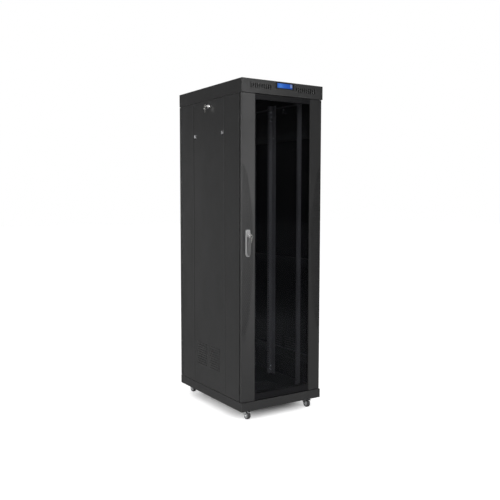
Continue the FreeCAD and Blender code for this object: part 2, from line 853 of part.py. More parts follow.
def hinge_pins(end):
    """Two pivot pins that reach into the base and top frames."""
    x, y, radius, length = dim["hinge_x"], end * dim["hinge_y"], dim["hinge_pin_radius"], 34.0
    return group(
        cylinder(x, y, base_top - PIVOT_REACH, radius, length),
        cylinder(x, y, crown_low + PIVOT_REACH - length, radius, length),
    )


# --- handle ---------------------------------------------------------------
handle_x = dim["handle_x"]
handle_z = dim["handle_z"]
handle_low = dim["handle_low"]
lever_pivot_y = front_y - 14
lever_pivot_z = handle_z - 14
HINGE_PIN = 1.5  # radius of the lever's cross pin
plug_front = front_y - 20.5
PLUG_LENGTH = 11.0
RUNNING_CLEARANCE = 0.05


def build_housing():
    """A plate proud of the strip, with a back that follows the strip's lean."""
    body = new_body("Housing")
    sketch = new_sketch(body, "XZ_Plane", half_depth - 8.0)
    half, high = dim["handle_width"] / 2, dim["handle_high"]
    left, right = handle_x - half, handle_x + half
    draw_outline(sketch, [
        (left + 6, handle_low), (right - 6, handle_low),
        (right, handle_low + 16), (right, high - 5),
        (right - 5, high), (left + 5, high),
        (left, high - 5), (left, handle_low + 16),
    ])
    pad(body, sketch, 15.0)
    inner, face_y = number(stile_in), number(front_y)
    behind = Part.makeBox(140, 40, 300, Vector(inner - 20, face_y - 0.01, 950))
    behind.rotate(Vector(inner, face_y, 0), Vector(0, 0, 1), number(dim["stile_lean"]))
    bore_radius = dim["spindle_radius"] + SPINDLE_CLEARANCE
    bore = cylinder(handle_x, front_y - 9, handle_z, bore_radius, 20.0, "y")
    piece(cut(body, bore, feature(mirrored_shape(behind), "Behind")), "handle_housing")


def build_spindle():
    """A head with a flat underside and a hinge tongue in front, a shaft
    through the door, and a cam behind the skin."""
    x, z = handle_x, handle_z
    head = cut(
        cylinder(x, front_y - 19, z, 11.5, 11.9, "y"),
        box(x - 13, x + 13, front_y - 20, front_y - 6, z - 13, z - 8.6),
    )
    shaft = cylinder(x, front_y - 8, z, dim["spindle_radius"], 20.0, "y")
    cam = box(x - 7, x + 7, front_y + 10.5, front_y + 13.5, z - 7, z + 30)
    tongue = box(x - 4, x + 4, front_y - 18.5, front_y - 9.5, lever_pivot_z, z - 8)
    knuckle = cylinder(x - 4, lever_pivot_y, lever_pivot_z, 4.5, 8.0, "x")
    bore_radius = dim["lock_plug_radius"] + RUNNING_CLEARANCE
    spindle = fuse(
        cut(
            fuse(head, shaft, cam, tongue, knuckle),
            cylinder(x, front_y - 20, z, bore_radius, 11.0, "y"),
        ),
        cylinder(x - 10.5, lever_pivot_y, lever_pivot_z, HINGE_PIN, 21.0, "x"),
    )
    piece(spindle, "handle_spindle")


def build_lever():
    """A knuckle on the cross pin, slotted round the tongue, and a grip that
    tapers to its free end."""
    x, y, z = handle_x, lever_pivot_y, lever_pivot_z
    body = new_body("Lever")
    sketch = new_sketch(body, "XZ_Plane", half_depth + 9.0)
    draw_outline(sketch, [
        (x - 9, handle_low + 24), (x - 4, handle_low + 6), (x + 4, handle_low + 6),
        (x + 9, handle_low + 24), (x + 11, z), (x - 11, z),
    ])
    pad(body, sketch, 10.0)
    lever = cut(
        fuse(body, cylinder(x - 11, y, z, 5.0, 22.0, "x")),
        box(x - 4.2, x + 4.2, front_y - 20, front_y - 8, z - 7, z + 7),
        cylinder(x - 12, y, z, HINGE_PIN + RUNNING_CLEARANCE, 24.0, "x"),
    )
    piece(lever, "handle_lever")


# --- keys -----------------------------------------------------------------
KEY_HOLE = Vector(0, -20.5, 0)  # centre of the bow's hole, from the plug's face


def key_shape():
    """A key's bow and neck, standing out of the plug along -Y from the
    origin, with a hole for the ring. The blade inside the plug is left off."""
    thickness = 1.8
    bow = Part.makeCylinder(8.5, thickness, Vector(-thickness / 2, -16.5, 0), Vector(1, 0, 0))
    neck = Part.makeBox(thickness, 11, 7, Vector(-thickness / 2, -11, -3.5))
    hole = Part.makeCylinder(2.4, 4, KEY_HOLE - Vector(2, 0, 0), Vector(1, 0, 0))
    return bow.fuse(neck).cut(hole).removeSplitter()


def key_ring():
    """A ring through the bow's hole, and a spare key hanging from it."""
    ring_radius, wire_radius, eye_height = 8.0, 0.7, 3.6
    thickness = 1.6
    centre = KEY_HOLE - Vector(0, 0, ring_radius)
    torus = Part.makeTorus(ring_radius, wire_radius, centre, Vector(0, 1, 0))
    bow = Part.makeCylinder(7.0, thickness, Vector(-thickness / 2, 0, 0), Vector(1, 0, 0))
    blade = Part.makeBox(thickness, 5, 16, Vector(-thickness / 2, -2.5, -22))
    eye = Part.makeCylinder(2.0, 4, Vector(-2, 0, eye_height), Vector(1, 0, 0))
    spare = bow.fuse(blade).cut(eye).removeSplitter()
    spare.translate(centre - Vector(0, 0, ring_radius + eye_height))
    return torus, spare


def keys_at(x, y, z, turn):
    keys = feature(Part.makeCompound([key_shape(), *key_ring()]), "Keys")
    position = Vector(number(x), number(y), number(z))
    keys.Placement = Placement(position, Rotation(Vector(0, 0, 1), turn))
    return keys


def build_handle():
    build_housing()
    build_spindle()
    build_lever()
    plug = cylinder(handle_x, plug_front, handle_z, dim["lock_plug_radius"], PLUG_LENGTH, "y")
    piece(plug, "handle_lock_plug")
    piece(keys_at(handle_x, plug_front, handle_z, 0), "handle_keys")


# --- rear door ------------------------------------------------------------
REAR_LOCK_X, REAR_LOCK_Z = -262.0, 1050.0
LOCK_BARREL_RADIUS = 8.0
LOCK_HOLE_RADIUS = 8.05
REAR_SLOT_X = 125.0  # centre of each slot column
REAR_SLOT_HALF = 70
REAR_SLOT_BANKS = (260.0, 1660.0)  # lowest slot of each bank
REAR_SLOT_PITCH = 18
SLOT_HALF_HEIGHT = 2.5  # rear door and side panels alike


def rear_slots():
    slot_y = (half_depth - 4, half_depth + 1)
    slots = []
    for side in SIDES:
        x = side * REAR_SLOT_X
        for start in REAR_SLOT_BANKS:
            for i in range(10):
                z = start + REAR_SLOT_PITCH * i
                slot_z = (z - SLOT_HALF_HEIGHT, z + SLOT_HALF_HEIGHT)
                slots.append(box(x - REAR_SLOT_HALF, x + REAR_SLOT_HALF, *slot_y, *slot_z))
    return slots


def build_rear_panel():
    """A tray open to the front, with slots, a lock hole and hinge holes."""
    hinge = (dim["hinge_x"], dim["hinge_y"])
    pin_radius = dim["hinge_pin_radius"]
    inside_x = door_x - skin
    tray = cut(
        box(-door_x, door_x, door_back, half_depth, door_low, door_high),
        box(
            -inside_x, inside_x, door_back - 1, half_depth - skin,
            door_low + skin, door_high - skin,
        ),
        *rear_slots(),
        cylinder(REAR_LOCK_X, half_depth - 4, REAR_LOCK_Z, LOCK_HOLE_RADIUS, 6.0, "y"),
        cylinder(*hinge, door_low - 2, pin_radius, PIVOT_HOLE_LENGTH),
        cylinder(*hinge, door_high - 4, pin_radius, PIVOT_HOLE_LENGTH)
    )
    piece(tray, "rear_door_panel")


def build_rear_stiffeners():
    span = (door_back + 4, half_depth - skin, door_low + skin, door_high - skin)
    inner, outer = door_x - 90, door_x - 65
    stiffeners = group(box(-outer, -inner, *span), box(inner, outer, *span))
    piece(stiffeners, "rear_door_stiffeners")


def build_rear_lock():
    x, z = REAR_LOCK_X, REAR_LOCK_Z
    lock = fuse(
        cylinder(x, half_depth, z, 13.0, 6.0, "y"),
        cylinder(x, half_depth - 20, z, LOCK_BARREL_RADIUS, 21.0, "y"),
        box(x - 6, x + 6, half_depth - 19, half_depth - 16, z, z + 22),
    )
    piece(lock, "rear_door_lock")


# --- side panels ----------------------------------------------------------
BEAD_Y = 200.0
# Half of the pressed rib's width at its foot and crest, and its reach inside
# and outside the skin's outer face.
BEAD_FOOT, BEAD_CREST, BEAD_ROOT, BEAD_RISE = 6, 2, 0.8, 1.2
LOUVRE_COLUMNS = (-72.0, 92.0)  # centre of each slot column in y
LOUVRE_HALF_LENGTH = 62
LOUVRE_START, LOUVRE_PITCH = 258.0, 15.5


def bead(y):
    """A shallow pressed rib that runs up the panel."""
    x, end_gap = number(half_width), 12.0
    low, high = number(door_low) + end_gap, number(door_high) - end_gap
    outline = [
        (x - BEAD_ROOT, y - BEAD_FOOT), (x, y - BEAD_FOOT),
        (x + BEAD_RISE, y - BEAD_CREST), (x + BEAD_RISE, y + BEAD_CREST),
        (x, y + BEAD_FOOT), (x - BEAD_ROOT, y + BEAD_FOOT),
    ]
    face = Part.Face(outline_wire([Vector(px, py, low) for px, py in outline]))
    return feature(face.extrude(Vector(0, 0, high - low)), "Bead")


def side_panel():
    """Right-hand panel: skin with folded edges and two pressed ribs, two
    columns of louvre slots low down, a lock hole and two latch slots near
    the top."""
    length, inside = dim["side_half_length"], dim["side_half_length"] - skin
    inner_x = half_width - dim["side_depth"]
    cut_x = (half_width - 4, half_width + 1)
    outer = box(inner_x, half_width, -length, length, door_low, door_high)
    cuts = [
        box(inner_x - 1, half_width - skin, -inside, inside, door_low + skin, door_high - skin)
    ]
    for y in LOUVRE_COLUMNS:
        for i in range(10):
            z = LOUVRE_START + LOUVRE_PITCH * i
            slot_z = (z - SLOT_HALF_HEIGHT, z + SLOT_HALF_HEIGHT)
            cuts.append(box(*cut_x, y - LOUVRE_HALF_LENGTH, y + LOUVRE_HALF_LENGTH, *slot_z))
    for end in SIDES:
        y, z = end * dim["side_latch_y"], dim["side_latch_z"]
        cuts.append(box(*cut_x, y - 5, y + 5, z - 17, z + 10))
    cuts.append(cylinder(half_width - 4, 0.0, dim["side_lock_z"], LOCK_HOLE_RADIUS, 6.0, "x"))
    return fuse(cut(outer, *cuts), bead(-BEAD_Y), bead(BEAD_Y))


def side_lock():
    """A round face, a barrel through the skin and a cam inside."""
    z = dim["side_lock_z"]
    return fuse(
        cylinder(half_width, 0.0, z, 10.5, 4.0, "x"),
        cylinder(half_width - 16, 0.0, z, LOCK_BARREL_RADIUS, 17.0, "x"),
        box(half_width - 15, half_width - 12.5, -7.0, 7.0, z, z + 26),
    )


def side_latch(end):
    """A button outside, a neck through the slot and a plate inside."""
    x, y, z = half_width, end * dim["side_latch_y"], dim["side_latch_z"]
    return fuse(
        box(x + 0.4, x + 3.5, y - 8, y + 8, z - 8, z + 11),
        box(x - 3, x + 1, y - 4.5, y + 4.5, z - 6, z + 9),
        box(x - 6, x - 2.5, y - 9, y + 9, z - 14, z + 26),
    )


def build_sides():
    for obj, name in (
        (side_panel(), "side_panel_%s"),
        (side_lock(), "side_lock_%s"),
        (side_latch(-1), "side_latch_%s_front"),
        (side_latch(1), "side_latch_%s_rear"),
    ):
        piece(obj, name % "right")
        piece(mirrored(obj), name % "left")
    piece(keys_at(-half_width - 4, 0.0, dim["side_lock_z"], -90), "side_lock_keys")


# --- casters --------------------------------------------------------------
# Forks and pedals are drawn in the YZ plane with the swivel's axis at y = 0
# and the wheel towards +Y; the front ones are turned round.
trail = dim["caster_trail"]
axle_z = dim["wheel_radius"]
fork_top = base_low - 9.5
PEDAL_PIN_Y, PEDAL_PIN_RADIUS = 22.5, 1.5
pedal_pin_z = fork_top - 2.5
CASTERS = (("front_left", -1, -1), ("front_right", 1, -1), ("rear_left", -1, 1), ("rear_right", 1, 1))


def caster_plate(x, y):
    """A bolted plate with the swivel's disc, king pin and its end flange."""
    pin_low = base_low - 15.5
    holes = [
        cylinder(
            x + bolt_x * CASTER_BOLT_OFFSET, y + bolt_y * CASTER_BOLT_OFFSET,
            base_low - 4, BOLT_HOLE_RADIUS, 5.0,
        )
        for bolt_x in SIDES for bolt_y in SIDES
    ]
    return cut(
        fuse(
            box(x - 30, x + 30, y - 30, y + 30, base_low - CASTER_PLATE, base_low),
            cylinder(x, y, base_low - 9.4, 15.0, 7.0),
            cylinder(x, y, pin_low, dim["king_pin_radius"], 13.0),
            cylinder(x, y, pin_low, 7.5, 2.0),
        ),
        *holes
    )


def caster_fork(x, y, end, facing):
    """A bridge with two legs that carry the axle off to one side of the
    swivel, towards the nearer end of the cabinet."""
    body = new_body("Fork")
    sketch = new_sketch(body, "YZ_Plane")
    draw_outline(sketch, [
        (-17.0, fork_top), (-17.0, fork_top - 7),
        (trail - 12, axle_z - 3), (trail - 8, axle_z - 9),
        (trail + 6, axle_z - 9), (trail + 10, axle_z - 3),
        (27.0, fork_top - 8), (27.0, fork_top),
    ])
    pad(body, sketch, 31.0, middle=True)
    # Space between the legs, open above beyond the bridge.
    sketch = new_sketch(body, "YZ_Plane")
    draw_outline(sketch, [
        (-30.0, 0.0), (60.0, 0.0), (60.0, fork_top + 1),
        (18.5, fork_top + 1), (18.5, fork_top - 3), (-30.0, fork_top - 3),
    ])
    pocket(body, sketch, 26.0, middle=True)
    sketch = new_sketch(body, "YZ_Plane")
    draw_circle(sketch, trail, axle_z, dim["axle_radius"])
    pocket(body, sketch, 60.0, middle=True)
    sketch = new_sketch(body, "XY_Plane")
    draw_circle(sketch, 0.0, 0.0, dim["king_pin_radius"] + RUNNING_CLEARANCE)
    pocket(body, sketch, 80.0, reverse=True)
    place(body, x, y, 0.0, facing)
    pin_y = y + end * PEDAL_PIN_Y
    axle = cylinder(x - 17, y + end * trail, axle_z, dim["axle_radius"], 34.0, "x")
    pedal_pin = cylinder(x - 15.5, pin_y, pedal_pin_z, PEDAL_PIN_RADIUS, 31.0, "x")
    bored = cut(body, cylinder(x - 20, pin_y, pedal_pin_z, PEDAL_PIN_RADIUS, 40.0, "x"))
    return group(bored, axle, pedal_pin)


def caster_wheel(x, y):
    """A tread with bevelled edges on a hub that stands a little proud."""
    body = new_body("Wheel")
    sketch = new_sketch(body, "XZ_Plane")
    radius, half = dim["wheel_radius"], dim["wheel_width"] / 2
    bore = dim["axle_radius"] + RUNNING_CLEARANCE
    # (radius, distance from the wheel's middle plane), bore to tread.
    profile = [
        (bore, half + 1.2), (10.0, half + 1.2), (11.0, half), (14.0, half - 1.5),
        (18.0, half - 1.5), (19.5, half), (radius - 2.5, half), (radius, half - 3),
    ]
    draw_outline(sketch, [(out, -along) for out, along in profile] + profile[::-1])
    revolve(body, sketch)
    return place(body, x, y, axle_z, Rotation(Vector(0, 1, 0), 90))


def caster_brake(x, y, facing):
    """A bent plate over the tread, on a pin between the fork's legs."""
    body = new_body("Pedal")
    sketch = new_sketch(body, "YZ_Plane")
    draw_outline(sketch, [
        (20.0, fork_top - 4.5), (20.0, fork_top - 0.5), (32.0, fork_top + 1),
        (55.0, fork_top - 3.5), (55.0, fork_top - 7.5), (32.0, fork_top - 3.5),
    ])
    pad(body, sketch, 20.0, middle=True)
    sketch = new_sketch(body, "YZ_Plane")
    draw_circle(sketch, PEDAL_PIN_Y, pedal_pin_z, PEDAL_PIN_RADIUS + RUNNING_CLEARANCE)
    pocket(body, sketch, 40.0, middle=True)
    return place(body, x, y, 0.0, facing)


def build_casters():
    plates = []
    for name, side, end in CASTERS:
        x, y = side * dim["caster_x"], end * dim["caster_y"]
        facing = Rotation(Vector(0, 0, 1), 180.0 if end < 0 else 0.0)
        plates.append(caster_plate(x, y))
        piece(caster_fork(x, y, end, facing), "caster_fork_" + name)
        piece(caster_wheel(x, y + end * trail), "caster_wheel_" + name)
        piece(caster_brake(x, y, facing), "caster_brake_" + name)
    piece(group(*plates), "caster_plates")


# --- build, check and export ----------------------------------------------
build_base_frame()
build_top_frame()
build_crown()
build_display()
build_corner_posts()
build_bottom_panel()
build_roof_panel()
build_rails()
build_braces()
build_bolts()
build_fans()
build_stiles()
build_glazing()
piece(hinge_pins(-1), "front_door_hinge_pins")
build_handle()
build_rear_panel()
piece(hinge_pins(1), "rear_door_hinge_pins")
build_rear_stiffeners()
build_rear_lock()
build_sides()
build_casters()
doc.recompute()

bad = []
for obj in doc.Objects:
    if "Invalid" in obj.State or "Error" in obj.State:
        bad.append("%s (%s): %s" % (obj.Name, obj.Label, obj.State))
for name, obj in PIECES.items():
    if obj.Shape.isNull():
        bad.append("%s: empty shape" % name)
    elif not obj.Shape.isValid():
        bad.append("%s: shape is not valid" % name)
    elif not obj.Shape.Solids or any(solid.Volume <= 0 for solid in obj.Shape.Solids):
        bad.append("%s: no solid, or one with no volume" % name)
if bad:
    raise RuntimeError("model errors:\n" + "\n".join(bad))

os.makedirs("parts", exist_ok=True)
for name, obj in PIECES.items():
    obj.Shape.exportStep("parts/%s.step" % name)
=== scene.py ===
# A floor-standing equipment cabinet on casters, with a glass front door.
# X is the width (left is -X), Y the depth (the front is -Y) and Z is up from
# the ground. The CAD pieces get materials, and detail meshes are added.
import math
import random
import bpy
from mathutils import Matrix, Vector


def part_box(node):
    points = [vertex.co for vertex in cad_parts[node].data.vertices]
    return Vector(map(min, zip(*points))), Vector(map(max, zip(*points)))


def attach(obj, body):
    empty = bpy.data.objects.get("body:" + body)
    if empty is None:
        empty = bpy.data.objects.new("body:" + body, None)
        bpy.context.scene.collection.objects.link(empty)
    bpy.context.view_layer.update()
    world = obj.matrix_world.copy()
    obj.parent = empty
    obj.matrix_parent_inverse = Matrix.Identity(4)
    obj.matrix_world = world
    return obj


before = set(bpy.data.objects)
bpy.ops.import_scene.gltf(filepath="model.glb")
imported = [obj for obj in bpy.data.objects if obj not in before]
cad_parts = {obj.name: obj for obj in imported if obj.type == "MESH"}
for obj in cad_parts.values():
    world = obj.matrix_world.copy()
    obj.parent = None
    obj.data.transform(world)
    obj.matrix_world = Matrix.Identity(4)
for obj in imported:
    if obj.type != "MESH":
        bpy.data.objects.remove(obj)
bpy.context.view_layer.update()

from fnmatch import fnmatchcase

import bmesh
import bpy
from mathutils import Matrix, Vector

scene = bpy.context.scene
scene.view_settings.view_transform = "Standard"
scene.view_settings.look = "None"
scene.view_settings.exposure = 0.0
scene.view_settings.gamma = 1.0

# Driving dimensions, in millimetres
MM = 0.001  # metres in a millimetre
HALF_WIDTH = 300.0  # side panels' outer faces
HALF_DEPTH = 400.0  # rear door's outer face
SKIN_GAP = 0.05  # lifts trim clear of the face it sits on
PANE_FACE_Y = -395.0  # glass pane's outer face
PANE_HALF = 208.0
DOOR_LOW, DOOR_HIGH = 123.0, 1970.0
SIDES = ((-1, "left"), (1, "right"))
ENDS = ((-1, "front"), (1, "rear"))


# ---------------------------------------------------------------- node graphs
def rgb(red, green=None, blue=None):
    """An opaque colour; one value alone gives a grey."""
    return (red, red if green is None else green, red if blue is None else blue, 1.0)


def scaled(colour, factor, lift=0.0):
    return rgb(*[channel * factor + lift for channel in colour])


class Graph:
    """Builds nodes in an emptied node tree."""

    def __init__(self, tree):
        self.tree = tree
        tree.nodes.clear()

    def add(self, kind, inputs=None, **props):
        """A node with its properties set and its inputs set or linked."""
        node = self.tree.nodes.new(kind)
        for key, value in props.items():
            setattr(node, key, value)
        for key, value in (inputs or {}).items():
            if isinstance(value, bpy.types.NodeSocket):
                self.tree.links.new(value, node.inputs[key])
            else:
                node.inputs[key].default_value = value
        return node

    def calc(self, operation, first, second=0.0, clamp=False):
        inputs = {0: first, 1: second, 2: 0.0}
        return self.add("ShaderNodeMath", inputs, operation=operation, use_clamp=clamp).outputs[0]

    def span(self, value, to, source=(0.3, 0.7), **props):
        """Maps the source range to another; the default suits a noise."""
        return self.add("ShaderNodeMapRange", {
            "Value": value, "From Min": source[0], "From Max": source[1],
            "To Min": to[0], "To Max": to[1],
        }, **props).outputs["Result"]

    def mix(self, factor, first, second):
        # Sockets 6 and 7 are the colour inputs, output 2 the colour result
        inputs = {"Factor": factor, 6: first, 7: second}
        return self.add("ShaderNodeMix", inputs, data_type="RGBA").outputs[2]

    def mix_shader(self, factor, first, second):
        return self.add("ShaderNodeMixShader", {0: factor, 1: first, 2: second}).outputs[0]


class Material(Graph):
    """A material whose textures follow object coordinates."""

    def __init__(self, name):
        self.block = bpy.data.materials.new(name)
        self.block.use_nodes = True
        super().__init__(self.block.node_tree)
        self.place = self.add("ShaderNodeTexCoord").outputs["Object"]

    def output(self, shader):
        self.add("ShaderNodeOutputMaterial", {"Surface": shader})
        return self.block

    def principled(self, inputs):
        return self.output(self.add("ShaderNodeBsdfPrincipled", inputs).outputs["BSDF"])

    def place_axes(self):
        return self.add("ShaderNodeSeparateXYZ", {0: self.place}).outputs

    def noise(self, scale, detail=2.0, rough=0.5, stretch=None, distortion=0.0):
        vector = self.place
        if stretch:
            mapping = self.add("ShaderNodeMapping", {"Scale": stretch, "Vector": vector})
            vector = mapping.outputs["Vector"]
        return self.add("ShaderNodeTexNoise", {
            "Vector": vector, "Scale": scale, "Detail": detail,
            "Roughness": rough, "Distortion": distortion,
        }).outputs["Fac"]

    def bump(self, height, distance, strength, normal=None):
        inputs = {"Height": height, "Distance": distance, "Strength": strength}
        if normal is not None:
            inputs["Normal"] = normal
        return self.add("ShaderNodeBump", inputs).outputs["Normal"]

    def rounded(self, radius, samples=4):
        """Normals that soften edges to a radius, in metres."""
        return self.add("ShaderNodeBevel", {"Radius": radius}, samples=samples).outputs["Normal"]

    def edges(self, radius, gain):
        """Up to 1 near sharp edges, 0 on flats."""
        soft = self.rounded(radius, samples=6)
        true_normal = self.add("ShaderNodeNewGeometry").outputs["Normal"]
        dot = self.add("ShaderNodeVectorMath", {0: soft, 1: true_normal}, operation="DOT_PRODUCT")
        turned = self.calc("SUBTRACT", 1.0, dot.outputs["Value"])
        return self.calc("MULTIPLY", turned, gain, clamp=True)


# ---------------------------------------------------------------- materials
# Bevel radii and bump distances are in metres.
def powder_coat(name, base, rough, scuff_and_highlight, tint=(1.0, 1.0, 1.03), peel=1.0, radius=0.0026):
    """Fine-textured powder coat: orange peel, grain, and lighter edges that are partly wear and
    partly a painted highlight.
    """
    mat = Material(name)

    # Brightness: broad clouds, upright streaks and a fine grain
    cloud = mat.noise(scale=1.7, detail=3.0, rough=0.55)
    streak = mat.noise(scale=2.2, detail=4.0, rough=0.6, stretch=(3.0, 3.0, 0.25))
    grain = mat.noise(scale=1400.0, rough=0.6)
    tone = mat.calc("ADD", mat.span(cloud, to=(0.90, 1.10)), mat.span(streak, to=(-0.05, 0.05)))
    tone = mat.calc("MULTIPLY", tone, mat.span(grain, to=(0.93, 1.07)))
    colour = mat.add("ShaderNodeVectorMath", {
        0: [base * channel for channel in tint], "Scale": tone,
    }, operation="SCALE").outputs["Vector"]

    # Lighter, smoother patches along the edges: partly wear, partly a painted highlight where the
    # folds catch the light
    patches = mat.noise(scale=38.0, detail=5.0, rough=0.7)
    patches = mat.span(patches, source=(0.42, 0.62), to=(0.45, 1.0))
    edge_wear_and_highlight = mat.calc("MULTIPLY", mat.edges(radius=0.0022, gain=3.2), patches)
    edge_wear_and_highlight = mat.calc("MULTIPLY", edge_wear_and_highlight, scuff_and_highlight, clamp=True)
    # Edge colour, several times the coat's: partly rubbed paint, partly a painted highlight
    light = rgb(base * 5.5 + 0.09, base * 5.4 + 0.09, base * 5.3 + 0.09)
    rub = mat.noise(scale=5.0, detail=5.0, rough=0.65, stretch=(1.0, 1.0, 0.6))
    rub = mat.span(rub, to=(rough - 0.05, rough + 0.06))

    peel_height = mat.noise(scale=260.0)
    fine_height = mat.noise(scale=1100.0, detail=1.0)
    normal = mat.rounded(radius)
    normal = mat.bump(peel_height, distance=0.00035 * peel, strength=0.55, normal=normal)
    normal = mat.bump(fine_height, distance=0.00009 * peel, strength=0.6, normal=normal)
    return mat.principled({
        "Base Color": mat.mix(edge_wear_and_highlight, colour, light),
        "Roughness": mat.calc("ADD", rub, mat.calc("MULTIPLY", edge_wear_and_highlight, -0.22)),
        "Normal": normal,
    })


def plated(name, colour, rough, mottled):
    """Plated metal with hairline scratches and slight tarnish."""
    mat = Material(name)
    tarnish = mat.noise(scale=60.0, detail=4.0, rough=0.6)
    hair = mat.noise(scale=500.0, detail=3.0, rough=0.7, stretch=(1.0, 1.0, 1.0))
    stain = mat.span(tarnish, source=(0.35, 0.7), to=(0.0, mottled))
    dull = scaled(colour, 1 - mottled * 0.45)
    hair_rough = mat.span(hair, to=(rough - 0.06, rough + 0.08))
    stain_rough = mat.span(tarnish, to=(-0.03, 0.05))
    return mat.principled({
        "Metallic": 1.0,
        "Base Color": mat.mix(stain, rgb(*colour), dull),
        "Roughness": mat.calc("ADD", hair_rough, stain_rough),
        "Normal": mat.bump(hair, distance=0.00003, strength=0.5, normal=mat.rounded(0.0006)),
    })


def moulded(name, base, rough, grain=900.0, depth=0.00006, spec=0.5, coat=0.0):
    """Moulded plastic with a fine spark grain and handling marks."""
    mat = Material(name)
    blotch = mat.span(mat.noise(scale=14.0, detail=4.0, rough=0.6), to=(0.0, 1.0))
    colour = mat.mix(blotch, scaled(base, 0.88), scaled(base, 1.12))
    edge_wear_and_highlight = mat.calc("MULTIPLY", mat.edges(radius=0.0008, gain=3.0), 0.35, clamp=True)
    marks = mat.noise(scale=45.0, detail=5.0, rough=0.65)
    grain_height = mat.noise(scale=grain)
    return mat.principled({
        "Base Color": mat.mix(edge_wear_and_highlight, colour, scaled(base, 2.2, lift=0.03)),
        "Roughness": mat.span(marks, to=(rough - 0.06, rough + 0.08)),
        "Specular IOR Level": spec,
        "Coat Weight": coat,
        "Coat Roughness": 0.08,
        "Normal": mat.bump(grain_height, distance=depth, strength=0.6, normal=mat.rounded(0.0006)),
    })


def tempered_glass(name):
    """Lightly smoked glass: see-through, a soft sheen, faint smears and dust."""
    mat = Material(name)
    smoke = mat.span(mat.noise(scale=1.1, detail=3.0), to=(0.0, 1.0))
    tone = mat.mix(smoke, rgb(0.86, 0.87, 0.89), rgb(0.90, 0.905, 0.92))
    clear = mat.add("ShaderNodeBsdfTransparent", {"Color": tone})
    smear = mat.noise(scale=9.0, detail=6.0, rough=0.7, stretch=(1.0, 1.0, 0.5), distortion=0.6)
    waves = mat.noise(scale=2.4, detail=1.0, rough=0.4)
    gloss = mat.add("ShaderNodeBsdfGlossy", {
        "Color": rgb(0.14, 0.145, 0.16),
        "Roughness": mat.span(smear, source=(0.35, 0.75), to=(0.015, 0.10)),
        "Normal": mat.bump(waves, distance=0.0006, strength=0.25),
    })
    fresnel = mat.add("ShaderNodeFresnel", {"IOR": 1.36})
    dust = mat.add("ShaderNodeBsdfDiffuse", {"Color": rgb(0.5)})
    film = mat.noise(scale=3.1, detail=6.0, rough=0.7)
    film = mat.span(film, source=(0.45, 0.8), to=(0.0, 0.0025))
    pane = mat.mix_shader(fresnel.outputs[0], clear.outputs[0], gloss.outputs[0])
    return mat.output(mat.mix_shader(film, pane, dust.outputs[0]))


def lit_panel(name):
    """Backlit panel: a blue glow, brightest left of the middle, with a paler
    block at its right end and a fine grid of cells."""
    glow_centre, glow_tightness = 0.24, 5.0
    block_left, block_bottom, block_strength = 0.86, 0.30, 0.8
    columns, rows, gap = 96.0, 26.0, 0.1

    mat = Material(name)
    low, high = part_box("display_panel")
    axes = mat.place_axes()
    across = mat.span(axes["X"], source=(low.x, high.x), to=(0.0, 1.0))
    upward = mat.span(axes["Z"], source=(low.z, high.z), to=(0.0, 1.0))

    def distance(value, centre):
        return mat.calc("ABSOLUTE", mat.calc("SUBTRACT", value, centre))

    def inside_cell(value, count):
        cell = mat.calc("FRACT", mat.calc("MULTIPLY", value, count))
        return mat.calc("GREATER_THAN", cell, gap)

    # Brightness dims towards the top and bottom and is slightly uneven
    fall = mat.calc("SUBTRACT", 1.0, mat.calc("POWER", distance(upward, 0.5), 2.0))
    glow = mat.calc("MULTIPLY", fall, mat.span(mat.noise(scale=14.0), to=(0.8, 1.15)))
    near = mat.calc("SUBTRACT", 1.0, distance(across, glow_centre), clamp=True)
    near = mat.calc("POWER", near, glow_tightness)
    blue = mat.mix(near, rgb(0.012, 0.11, 0.62), rgb(0.10, 0.32, 0.95))
    block = mat.calc(
        "MULTIPLY",
        mat.calc("GREATER_THAN", across, block_left),
        mat.calc("GREATER_THAN", upward, block_bottom),
    )
    block = mat.calc("MULTIPLY", block, block_strength)
    cells = mat.calc("MULTIPLY", inside_cell(across, columns), inside_cell(upward, rows))
    power = mat.calc("MULTIPLY", glow, mat.span(cells, source=(0.0, 1.0), to=(0.7, 1.0)))
    return mat.principled({
        "Base Color": rgb(0.01, 0.03, 0.12),
        "Emission Color": mat.mix(block, blue, rgb(0.45, 0.55, 0.80)),
        "Emission Strength": mat.calc("MULTIPLY", power, 0.55),
        "Roughness": 0.12,
    })


NEUTRAL = (1.0, 1.0, 1.01)
COAT = powder_coat("powder_coat_black", base=0.0105, rough=0.42, scuff_and_highlight=0.6)
COAT_FRONT = powder_coat("powder_coat_front", base=0.0095, rough=0.40, scuff_and_highlight=0.8)
COAT_PERFORATED = powder_coat(
    "powder_coat_perforated", base=0.0095, rough=0.45, scuff_and_highlight=0.0, radius=0.0004)
COAT_INNER = powder_coat("powder_coat_inner", base=0.022, rough=0.48, scuff_and_highlight=0.0, radius=0.0004)
RAIL = powder_coat(
    "rail_coat", base=0.170, rough=0.32, scuff_and_highlight=0.0, tint=(1.0, 1.0, 1.02), radius=0.0003)
GLASS = tempered_glass("tempered_glass")
ENAMEL = moulded(
    "glass_border_enamel", base=(0.006, 0.006, 0.007), rough=0.34, depth=0.00001, spec=0.12)
BEZEL = moulded("bezel_gloss", base=(0.010, 0.010, 0.012), rough=0.17, coat=0.6, depth=0.00001)
PANEL = lit_panel("display_blue")
ZINC = plated("zinc_bright", colour=(0.86, 0.87, 0.88), rough=0.22, mottled=0.5)
CHROME = plated("chrome_polished", colour=(0.83, 0.83, 0.85), rough=0.10, mottled=0.2)
NICKEL = plated("key_nickel", colour=(0.70, 0.69, 0.66), rough=0.24, mottled=0.5)
DIECAST = powder_coat(
    "diecast_grey", base=0.27, rough=0.32, scuff_and_highlight=0.25, tint=NEUTRAL, peel=0.5, radius=0.0012)
LEVER = powder_coat(
    "handle_lever_grey", base=0.055, rough=0.34, scuff_and_highlight=0.6, tint=NEUTRAL, peel=0.5, radius=0.0012)
